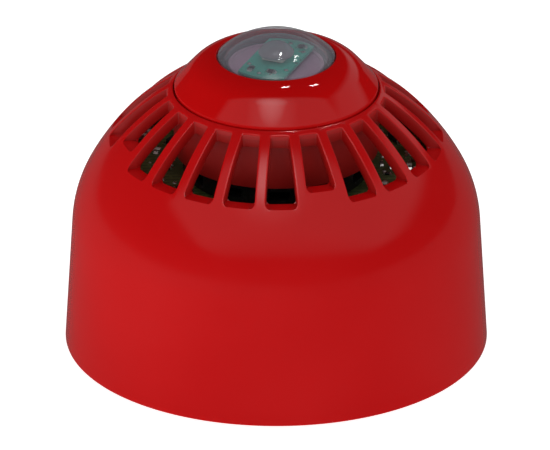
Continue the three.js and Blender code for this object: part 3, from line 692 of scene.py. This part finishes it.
def slotSector(bm, turn, sill):
    plan = mirroredLoop(slotHalf(sill))
    count = len(plan)
    away = []
    for i, point in enumerate(plan):
        run = (plan[(i + 1) % count] - plan[i - 1]).normalized()
        away.append(Vector((run.y, -run.x)))
    if away[0].x < 0:
        away = [-way for way in away]
    sillHeight = crownHeight(sill)
    throughRadius = insideRadiusAt(sillHeight)
    depth = [max(0.0, crownHeight(p.length) - sillHeight) for p in plan]
    loops = []

    def polarLoop(points, height):
        loops.append([(*(p.x * Vector(polar(1, p.y))), height(p.x)) for p in points])

    def between(start, end, share):
        return [s.lerp(e, share) for s, e in zip(start, end)]

    def asPolar(points):
        return [Vector((p.length, math.atan2(p.y, p.x))) for p in points]

    rim = mirroredLoop(rimHalf(slot["outerReach"], dome["recessRadius"] + dome["edge"], slot["rows"]))
    edge = slot["edge"]
    lip = asPolar([p + way * edge for p, way in zip(plan, away)])
    for share in (0, 0.34, 0.68, 1):
        polarLoop(between(rim, lip, share), crownHeight)
    for lean in (30, 60, 90):
        bend = math.radians(lean)
        ring = []
        for p, way, deep in zip(plan, away, depth):
            place = p + way * edge * (1 - math.sin(bend))
            fade = min(1.0, deep / (2 * edge))
            drop = edge * (1 - math.cos(bend)) * fade
            ring.append((place.x, place.y, crownHeight(place.length) - max(0.0, drop)))
        loops.append(ring)
    low = slot["floorEdge"]
    for step, rise in ((0.0, 1.0), (0.3, 0.3), (1.0, 0.0)):
        ring = []
        for p, way, deep in zip(plan, away, depth):
            share = max(-1.0, min(1.0, (throughRadius - p.length) / slot["turnOver"]))
            fade = min(1.0, deep / (3 * low))
            place = p + way * low * step * share * fade
            floor = sillHeight if p.length > throughRadius else crownHeight(place.length, dome["wall"])
            ring.append((place.x, place.y, floor + low * rise * fade))
        loops.append(ring)
    # the sill is a ledge, as far in as where the crown's inner face has its height
    beyond = [i for i, p in enumerate(plan) if p.length > throughRadius]
    bearing = [math.atan2(p.y, p.x) for p in plan]
    order = sorted(beyond, key=lambda i: bearing[i])
    widest = max(abs(bearing[i]) for i in beyond if plan[i].length < throughRadius + slot["ledgeEnd"])
    shelf, under = list(loops[-1]), list(loops[-1])
    for n, i in enumerate(order):
        angle = widest * (2 * n / (len(order) - 1) - 1)
        shelf[i] = (*polar(throughRadius + slot["ledgeEdge"], angle), sillHeight)
        under[i] = (*polar(throughRadius, angle), sillHeight - slot["ledgeEdge"])
    loops += [shelf, under]
    hole = asPolar([Vector(p[:2]) for p in under])
    hidden = mirroredLoop(rimHalf(slot["innerReach"], tube["outer"], slot["rows"]))
    for share in (0.5, 1):
        polarLoop(between(hole, hidden, share), lambda r: crownHeight(r, dome["wall"]))
    spin = Matrix.Rotation(turn, 4, "Z")
    rows = [[bm.verts.new(spin @ (Vector(p) * mm)) for p in loop] for loop in loops]
    for outer, inner in zip(rows, rows[1:]):
        for i in range(count):
            j = (i + 1) % count
            corners = []
            for v in (outer[i], outer[j], inner[j], inner[i]):
                if all((v.co - w.co).length > 1e-7 for w in corners):
                    corners.append(v)
            if len(corners) > 2:
                bm.faces.new(corners)


def makeDome():
    bm = bmesh.new()
    for i in range(slot["count"]):
        short = i % slot["shortEvery"] == slot["shortFirst"]
        sill = slot["shortSillRadius"] if short else slot["sillRadius"]
        slotSector(bm, i * 2 * halfPitch - math.pi / 2, sill)
    columns = slot["count"] * dome["columns"]
    first = -math.pi / 2 - halfPitch
    wall, foot, rim = dome["wall"], dome["footGap"], dome["footEdge"]
    footOut = dome["footRadius"] - dome["skirtDraft"] * foot / dome["skirtHeight"]
    outside = arc(upperCentre, dome["upperArc"], crownSlope(slot["outerReach"]), dome["arcMeet"], 4)
    outside += arc(lowerCentre, dome["lowerArc"], dome["arcMeet"], skirtSlope, 16)[1:]
    for share in (0.3, 0.6, 0.9):
        outside.append(tuple(high + (low - high) * share for high, low in zip(skirtTop, (footOut, foot))))
    rimPlan = [outside[-1], (footOut, foot, rim), (skirtInside(foot), foot, rim / 2), (skirtInside(6), 6)]
    footRim = eased(rimPlan, steps=5)
    inside = [(skirtInside(z), z) for z in (12, 22)]
    inside += list(reversed(arc(lowerCentre, dome["lowerArc"] - wall, dome["arcMeet"], skirtSlope, 8)))
    slopes = dome["arcMeet"], crownSlope(slot["innerReach"], wall)
    inside += arc(upperCentre, dome["upperArc"] - wall, *slopes, 3)[1:]
    lathe(outside + footRim[1:] + inside, columns, bm, False, first=first)
    seat, edge = dome["recessRadius"], dome["edge"]
    top = crownHeight(seat + edge)
    recess = [
        (seat + edge, top), (seat + edge * 0.45, top + 0.02), (seat + edge * 0.12, top - 0.08),
        (seat, top - 0.3),
        (seat, seatHeight + 0.2), (seat - 0.06, seatHeight + 0.06), (seat - 0.2, seatHeight),
        (tube["inner"] + 0.2, seatHeight), (tube["inner"], seatHeight - 0.2),
        (tube["inner"], tubeBottom + tube["notch"]), (tube["inner"], tubeBottom),
        (tube["outer"], tubeBottom), (tube["outer"], tubeBottom + tube["notch"]),
        (tube["outer"], crownHeight(tube["outer"], wall)),
    ]
    lathe(recess, columns, bm, False, first=first)
    bmesh.ops.remove_doubles(bm, verts=bm.verts, dist=2e-6)
    return bm


finePiece("dome_shell", makeDome(), "head", redBody, ["dome_housing"], 34)

fitting = {
    "count": 3, "first": 90, "orbit": 43.2, "post": 3, "postHeight": 9, "pilot": 1.6, "web": 2.6,
    "soft": 0.3, "steps": 10,
    "tabSpan": 18, "tabInner": 44.6, "tabBottom": 4.6, "tabThick": 2.6, "sink": 1.2,
}


# Inside the skirt: posts for the rear cover's screws, each tied to the wall by a web, and the lock's tabs.
def makeFittings(look):
    bm = bmesh.new()
    foot, sink = topOf("rear_cover") + clearance, look["sink"]
    top, pilotTop = foot + look["postHeight"], topOf("cover_screw_1") + clearance
    soft, post, pilot = look["soft"], look["post"], look["pilot"]
    for i in range(look["count"]):
        turn = math.radians(look["first"] + 360 * i / look["count"])
        outline = [
            (0, top), (post - soft, top), (post - 0.08, top - 0.1), (post, top - soft),
            (post, foot + soft), (post - 0.08, foot + 0.1), (post - soft, foot),
            (pilot + 0.2, foot), (pilot, foot + 0.2), (pilot, pilotTop), (0, pilotTop),
        ]
        lathe(outline, 32, bm, False, polar(look["orbit"], turn))
        start, end = look["orbit"] + post - 0.4, skirtInside(top) + sink
        middle = (*polar((start + end) / 2, turn), (top + foot) / 2)
        block((end - start, look["web"], top - foot - 0.2), middle, 0.0, 0.15, bm, turn)
        turn = 2 * math.pi * i / look["count"]
        half, steps = math.radians(look["tabSpan"] / 2), look["steps"]
        low, high = look["tabBottom"], look["tabBottom"] + look["tabThick"]
        angles = [turn + half * (2 * n / steps - 1) for n in range(steps + 1)]
        plan = [polar(look["tabInner"], angle) for angle in angles]
        plan += [polar(skirtInside(low) + sink, angle) for angle in reversed(angles)]
        raised(plan, low, high, soft, bm)
    return bm


finePiece("dome_fittings", makeFittings(fitting), "head", redBody, ["dome_housing"], 34)
print("dome housing made")

cap = {
    "radius": 24.05, "lip": 1.8, "flankRise": 4, "flankSlope": 49, "crownArc": 11.2, "rimRadius": 14.1,
    "rimThickness": 1.95, "plugRadius": 21.3, "plugWall": 2, "columns": 192,
}
lens = {"radius": 13.8, "rise": 5.55, "thickness": 1.6, "flange": 2.6, "flangeThickness": 1.3, "columns": 160}

capBottom = seatHeight + clearance
flankFoot = (cap["radius"], capBottom + cap["lip"])
flankRun = cap["flankRise"] / math.tan(math.radians(cap["flankSlope"]))
flankTop = (cap["radius"] - flankRun, flankFoot[1] + cap["flankRise"])
crownCentre = arcCentre(flankTop, cap["crownArc"], cap["flankSlope"])
rimSlope = math.degrees(math.asin((cap["rimRadius"] - crownCentre[0]) / cap["crownArc"]))
rimTop = arc(crownCentre, cap["crownArc"], rimSlope, rimSlope, 1)[0][1]
rimBottom = rimTop - cap["rimThickness"]
flangeTop = rimBottom - clearance


def makeCap():
    crown = arc(crownCentre, cap["crownArc"], cap["flankSlope"], rimSlope, 14)
    inner = cap["plugRadius"] - cap["plugWall"]
    nest = lens["radius"] + lens["flange"] + clearance
    outline = [(cap["radius"], capBottom, 0.3), (*flankFoot, 0.45), *crown[:-1], (*crown[-1], 0.3)]
    outline += [(cap["rimRadius"], rimBottom, 0.1), (nest, rimBottom, 0.1), (nest, capBottom + 4.2, 0.4)]
    outline += [(inner, capBottom, 0.4), (inner, capBottom - plugDepth, 0.3)]
    outline += [(cap["plugRadius"], capBottom - plugDepth, 0.5), (cap["plugRadius"], capBottom, 0.2)]
    return lathe(eased(outline, steps=4), cap["columns"])


finePiece("crown_cap", makeCap(), "head", redCap, ["bezel_cap"], 40)


def makeLens():
    sphere = (lens["radius"] ** 2 + lens["rise"] ** 2) / (2 * lens["rise"])
    centre = (0, rimTop + lens["rise"] - sphere)
    inner, insideRadius = sphere - lens["thickness"], lens["radius"] - lens["thickness"]
    outerEdge = math.degrees(math.asin(lens["radius"] / sphere))
    innerEdge = math.degrees(math.asin(insideRadius / inner))
    flangeRadius, flangeBottom = lens["radius"] + lens["flange"], flangeTop - lens["flangeThickness"]
    dish = arc(centre, sphere, 0, outerEdge, 22)
    outline = dish[:-1] + [(*dish[-1], 0.25), (lens["radius"], flangeTop, 0.2)]
    outline += [(flangeRadius, flangeTop, 0.15), (flangeRadius, flangeBottom, 0.15)]
    outline += [(insideRadius, flangeBottom, 0.15)]
    return lathe(eased(outline + arc(centre, inner, innerEdge, 0, 20), steps=3), lens["columns"])


finePiece("beacon_lens", makeLens(), "head", clearLens, ["lens"], 40)


rings = {
    "seal": {"node": "lens_seal", "inner": 14.05, "outer": 16.15, "corners": (0.4, 0.4), "columns": 96},
    "retainer": {
        "node": "lens_retainer", "inner": 12.2, "outer": 16.4, "corners": (0.2, 0.35), "columns": 120,
    },
}


def makeRing(look):
    low, high = bottomOf(look["node"]), topOf(look["node"])
    usual, last = look["corners"]
    plan = [(look["inner"], low, usual), (look["outer"], low, usual), (look["outer"], high, usual)]
    return lathe(eased(plan + [(look["inner"], high, last)]), look["columns"])


finePiece("lens_gasket", makeRing(rings["seal"]), "head", blackSeal, ["lens_seal"])
finePiece("retaining_ring", makeRing(rings["retainer"]), "head", greyRing, ["lens_retainer"])
print("cap and lens made")

carrier = {
    "radius": 11.3, "thickness": 1.6, "skirtWall": 1.4, "brim": 1.6, "brimRadius": 19.0, "bedDepth": 0.35,
}
carrierTop = topOf("led_carrier")
brimBottom = bottomOf("led_carrier")


def makeCarrier():
    inner = carrier["radius"] - carrier["skirtWall"]
    under = carrierTop - carrier["thickness"]
    brimTop = brimBottom + carrier["brim"]
    bed = carrierTop - carrier["bedDepth"]  # the board lies inside a low rim
    outline = [
        (0, bed), (carrier["radius"] - 1.0, bed, 0.15), (carrier["radius"] - 0.8, carrierTop, 0.1),
        (carrier["radius"], carrierTop, 0.3), (carrier["radius"], brimTop, 0.8),
        (carrier["brimRadius"], brimTop, 0.4), (carrier["brimRadius"], brimBottom, 0.3),
        (inner, brimBottom, 0.3), (inner, under, 0.6), (0, under),
    ]
    return lathe(eased(outline, steps=4), 120)


finePiece("beacon_carrier", makeCarrier(), "head", mauveCarrier, ["led_carrier"])

strobe = {
    "width": 11.6, "radius": 11.3, "angle": 66, "edge": 0.08, "chip": (2.0, 1.25, 0.5), "padRadius": 0.55,
}
strobeTurn = Matrix.Rotation(math.radians(strobe["angle"]), 4, "Z")
strobeLow, strobeHigh = bottomOf("strobe_board"), topOf("strobe_board")


def makeStrobeBoard():
    corner = math.asin(strobe["width"] / 2 / strobe["radius"])
    outline = []
    for side in (0, math.pi):
        for i in range(13):
            outline.append(polar(strobe["radius"] - 0.05, side - corner + 2 * corner * i / 12))
    return raised(outline, strobeLow, strobeHigh, strobe["edge"], place=strobeTurn)


finePiece("strobe_strip", makeStrobeBoard(), "head", strobeMask, ["strobe_board"])

# What is soldered to the strobe board: (kind, along, across, quarter turns)
strobeParts = [
    ("chip", 7.6, 1.9, 0), ("chip", -7.7, -1.8, 1), ("chip", 7.9, -3.3, 1), ("chip", -7.9, 3.2, 0),
    ("pad", 8.9, 0.0, 0), ("pad", -9.3, 0.6, 0), ("pad", 5.4, 4.6, 0), ("pad", -5.4, -4.7, 0),
    ("pad", 5.6, -4.6, 0), ("pad", -5.3, 4.7, 0),
]
ledPackage = {"size": 5.4, "well": 2.0}


# A chip part and its two soldered ends.
def chipPair(bodies, ends, x, y, base, turn, size, spin=Matrix.Identity(4)):
    width, depth, height = size
    own, tips = bmesh.new(), bmesh.new()
    block((width * 0.62, depth, height), (0, 0, height / 2), 0.05, 0.05, own)
    for side in (-1, 1):
        end = (width * 0.2, depth * 1.02, height * 1.03)
        block(end, (side * width * 0.41, 0, height * 0.515), 0.05, 0.06, tips)
        face, toe = side * width * 0.5, side * (width * 0.5 + height * 0.7)
        wedge(tips, [(face, 0.0), (toe, 0.0), (face, height * 0.65)], depth * 0.92)
    place = spin @ Matrix.Translation((x * mm, y * mm, base * mm)) @ Matrix.Rotation(turn, 4, "Z")
    own.transform(place)
    tips.transform(place)
    joined(own, bodies)
    joined(tips, ends)


def wedge(bm, profile, depth):  # a solder fillet: a small prism, its profile in x and z
    sides = []
    for y in (-depth / 2, depth / 2):
        sides.append([bm.verts.new((x * mm, y * mm, z * mm)) for x, z in profile])
    bm.faces.new(sides[0])
    bm.faces.new(list(reversed(sides[1])))
    for i in range(len(profile)):
        j = (i + 1) % len(profile)
        bm.faces.new([sides[0][j], sides[0][i], sides[1][i], sides[1][j]])
    return bm


def blob(bm, radius, height, middle, base, points=20):  # a solder dome
    outline = [(0, base + height)]
    for lean in (25, 50, 72, 86):
        bend = math.radians(lean)
        outline.append((radius * math.sin(bend), base + height * math.cos(bend) ** 0.8))
    return lathe(outline + [(radius, base - 0.03), (0, base - 0.03)], points, bm, middle=middle)


cases, tips = bmesh.new(), bmesh.new()
for kind, along, across, quarter in strobeParts:
    if kind == "chip":
        chipPair(cases, tips, along, across, strobeHigh, quarter * math.pi / 2, strobe["chip"], strobeTurn)
    else:
        x, y = (strobeTurn @ Vector((along, across, 0))).xy
        blob(tips, strobe["padRadius"], 0.28, (x, y), strobeHigh)
finePiece("strobe_chips", cases, "head", chipCase)
finePiece("strobe_solder", tips, "head", tin)

ledLow, ledHigh = bottomOf("led_package"), topOf("led_package")


def makeLedPackage():
    square = eased(rectangle(ledPackage["size"], ledPackage["size"]), 0.4, 4)
    narrow, wide = ledPackage["well"] - 0.25, ledPackage["well"] + 0.1
    well = lathe([
        (wide, ledHigh + 1), (wide, ledHigh + 0.1), (narrow, ledHigh - 0.3),
        (0, ledHigh - 0.3), (0, ledHigh + 1),
    ], 48)
    body = raised(square, ledLow, ledHigh, place=strobeTurn)
    return carved(body, [well], 0.06, 2)


finePiece("led_body", makeLedPackage(), "head", paleCeramic, ["led_package"])
dieMesh = raised(circle(ledPackage["well"] - 0.3, 40), ledHigh - 0.31, ledHigh - 0.06, 0.08)
finePiece("led_phosphor", dieMesh, "head", phosphor)

optic = {
    "radius": 4.2, "height": 2.9, "foot": 0.5,
    "bore": 2.7, "hollow": 4.2, "hollowRise": 1.2, "hollowEdge": 40,
}
opticLow = bottomOf("led_optic")


def makeOptic():
    rise = optic["height"] - optic["foot"]
    sphere = (optic["radius"] ** 2 + rise ** 2) / (2 * rise)
    edge = math.degrees(math.asin(optic["radius"] / sphere))
    dish = arc((0, opticLow + optic["height"] - sphere), sphere, 0, edge, 16)
    outline = dish[:-1] + [(*dish[-1], 0.2), (optic["radius"], opticLow, 0.1), (optic["bore"], opticLow, 0.2)]
    middle = (0, opticLow + optic["hollowRise"] - optic["hollow"])
    hollow = arc(middle, optic["hollow"], optic["hollowEdge"], 0, 8)
    return lathe(eased(outline + hollow, steps=3), 96)


finePiece("led_optic_dome", makeOptic(), "head", clearOptic, ["led_optic"])

driver = {"radius": 17.4, "edge": 0.12}
driverLow, driverHigh = bottomOf("driver_board"), topOf("driver_board")
driverMesh = raised(circle(driver["radius"], 96), driverLow, driverHigh, driver["edge"])
finePiece("driver_disc", driverMesh, "head", boardMask, ["driver_board"])
print("beacon made")

capsule = {
    "radius": 22, "wall": 1.5, "floor": 1.1, "mouth": 15.5, "groove": (18.2, 18.4, 19.2, 19.4), "grooveDepth": 0.25,
    "ports": 12, "portWidth": 5, "portHeight": 2.2, "portReach": (19, 24),
}
capsuleLow, capsuleHigh = bottomOf("sounder_capsule"), topOf("sounder_capsule")


def makeCapsule():
    inside = capsule["radius"] - capsule["wall"]
    roof, base = capsuleHigh - capsule["floor"], capsuleLow + capsule["floor"]
    nearTop, near, far, farTop = capsule["groove"]
    bed = capsuleHigh - capsule["grooveDepth"]
    outline = [
        (0, capsuleLow), (capsule["radius"], capsuleLow, 0.3), (capsule["radius"], capsuleHigh, 0.7),
        (farTop, capsuleHigh, 0.15), (far, bed, 0.1), (near, bed, 0.1), (nearTop, capsuleHigh, 0.15),
        (capsule["mouth"], capsuleHigh, 0.35), (capsule["mouth"], roof, 0.2),
        (inside, roof, 0.2), (inside, base, 0.2), (0, base),
    ]
    shell = lathe(eased(outline, steps=4), 144)
    flat = eased(rectangle(capsule["portHeight"], capsule["portWidth"]), 0.6, 4)
    middle = (capsuleLow + capsuleHigh) / 2
    stand = Matrix.Translation((0, 0, middle * mm)) @ Matrix.Rotation(math.pi / 2, 4, "Y")
    ports = bmesh.new()
    for i in range(capsule["ports"]):
        turn = Matrix.Rotation(2 * math.pi * i / capsule["ports"], 4, "Z")
        raised(flat, *capsule["portReach"], 0, ports, turn @ stand)
    return carved(shell, [ports])


finePiece("sounder_case", makeCapsule(), "head", blackShell, ["sounder_capsule"])

mainBoard = {"radius": 39.5, "edge": 0.12}
boardLow, boardHigh = bottomOf("main_board"), topOf("main_board")
boardMesh = raised(circle(mainBoard["radius"], 160), boardLow, boardHigh, mainBoard["edge"])
finePiece("main_disc", boardMesh, "head", boardMask, ["main_board"])

# Parts on the visible ring of the main board, clear of the capsule and the lead.
populated = {
    "seed": 41, "tries": 4000, "leadClear": 0.30,
    "large": {"wanted": 9, "gap": 2.6, "inner": 25.5, "outer": 35.5},
    "small": {"wanted": 74, "gap": 1.15, "inner": 24.0, "outer": 37.4},
    "beads": {"wanted": 90, "gap": 0.5, "inner": 23.2, "outer": 38.4},
}
# A chip on legs. The profile of a leg is given from the body outwards and back.
package = {
    "body": (3.9, 3.1, 1.3), "middle": 0.85, "legs": 4, "pitch": 0.78, "legWidth": 0.36,
    "leg": [
        (1.9, 0.75), (2.3, 0.7), (2.45, 0.1), (2.95, 0.1),
        (2.95, 0.0), (2.3, 0.0), (2.15, 0.55), (1.9, 0.6),
    ],
}
chipSizes = [(1.6, 0.8, 0.5), (2.0, 1.25, 0.75), (1.6, 0.8, 0.7)]


def freePlaces(chance, taken, wanted, gap, inner, outer):
    found, tries = [], 0
    while len(found) < wanted and tries < populated["tries"]:
        tries += 1
        radius, angle = chance.uniform(inner, outer), chance.uniform(-math.pi, math.pi)
        if abs(angle - math.pi / 2) < populated["leadClear"]:
            continue
        x, y = polar(radius, angle)
        if all((x - u) ** 2 + (y - v) ** 2 > (gap + g) ** 2 for u, v, g in taken):
            taken.append((x, y, gap))
            found.append((x, y, angle))
    return found


def populate():
    chance = random.Random(populated["seed"])
    cases, tips, tall, pale = bmesh.new(), bmesh.new(), bmesh.new(), bmesh.new()
    taken = []
    for x, y, angle in freePlaces(chance, taken, **populated["large"]):
        turn = angle + chance.choice((0, math.pi / 2))
        own, legs = bmesh.new(), bmesh.new()
        block(package["body"], (0, 0, package["middle"]), 0.15, 0.18, own)
        for side in (-1, 1):
            profile = [(side * out, up) for out, up in package["leg"]]
            for i in range(package["legs"]):
                leg = wedge(bmesh.new(), profile, package["legWidth"])
                row = (i - (package["legs"] - 1) / 2) * package["pitch"]
                leg.transform(Matrix.Translation((0, row * mm, 0)))
                joined(leg, legs)
        place = Matrix.Translation((x * mm, y * mm, boardHigh * mm)) @ Matrix.Rotation(turn, 4, "Z")
        for part, into in ((own, cases), (legs, tips)):
            part.transform(place)
            joined(part, into)
    for n, (x, y, angle) in enumerate(freePlaces(chance, taken, **populated["small"])):
        turn = angle + chance.choice((0, math.pi / 2))
        kind = n % len(chipSizes)
        chipPair((cases, pale, tall)[kind], tips, x, y, boardHigh, turn, chipSizes[kind])
    for x, y, angle in freePlaces(chance, taken, **populated["beads"]):
        blob(tips, chance.uniform(0.32, 0.6), chance.uniform(0.12, 0.35), (x, y), boardHigh, 12)
    return cases, tips, tall, pale


cases, tips, tall, pale = populate()
finePiece("board_chips", cases, "head", chipCase)
finePiece("board_solder", tips, "head", tin)
brownChip = moulded("brownChip", (0.16, 0.085, 0.04), 0.4, 2600, 0.1)
finePiece("board_capacitors", tall, "head", brownChip)
finePiece("board_resistors", pale, "head", paleCeramic)
print("sounder and main board made")

carried = {
    redBody: ["mounting_base"],
    blackSeal: ["wall_gasket", "head_seal"],
    blackCover: ["terminal_block", "rear_cover", "board_header"],
    chipCase: ["controller_chip"],
    steel: ["terminal_screw_1", "cover_screw_1"],
    brass: ["base_contact_1", "head_contact_1", "piezo_plate"],
    boardMask: ["interface_board"],
    paleCeramic: ["piezo_ceramic"],
    ferrite: ["driver_coil", "sounder_transformer"],
    capacitorSleeve: ["strobe_capacitor", "reservoir_capacitor_1"],
    redSheath: ["strobe_lead"],
    whitePlastic: ["board_standoff_1", "tone_slider_1", "volume_rotor"],
    blueHousing: ["tone_switch", "volume_body"],
}


def familyOf(name):  # a numbered node stands for all of its kind
    stem = name[:-1] if name[-1].isdigit() else name
    return [n for n in frame["nodes"] if n == name or (name[-1].isdigit() and n.startswith(stem))]


for finish, names in carried.items():
    for node in (n for name in names for n in familyOf(name)):
        slots = frame["nodes"][node].material_slots
        if not slots:
            frame["nodes"][node].data.materials.append(finish)
        for place in slots:
            place.material = finish
print("frame nodes finished")
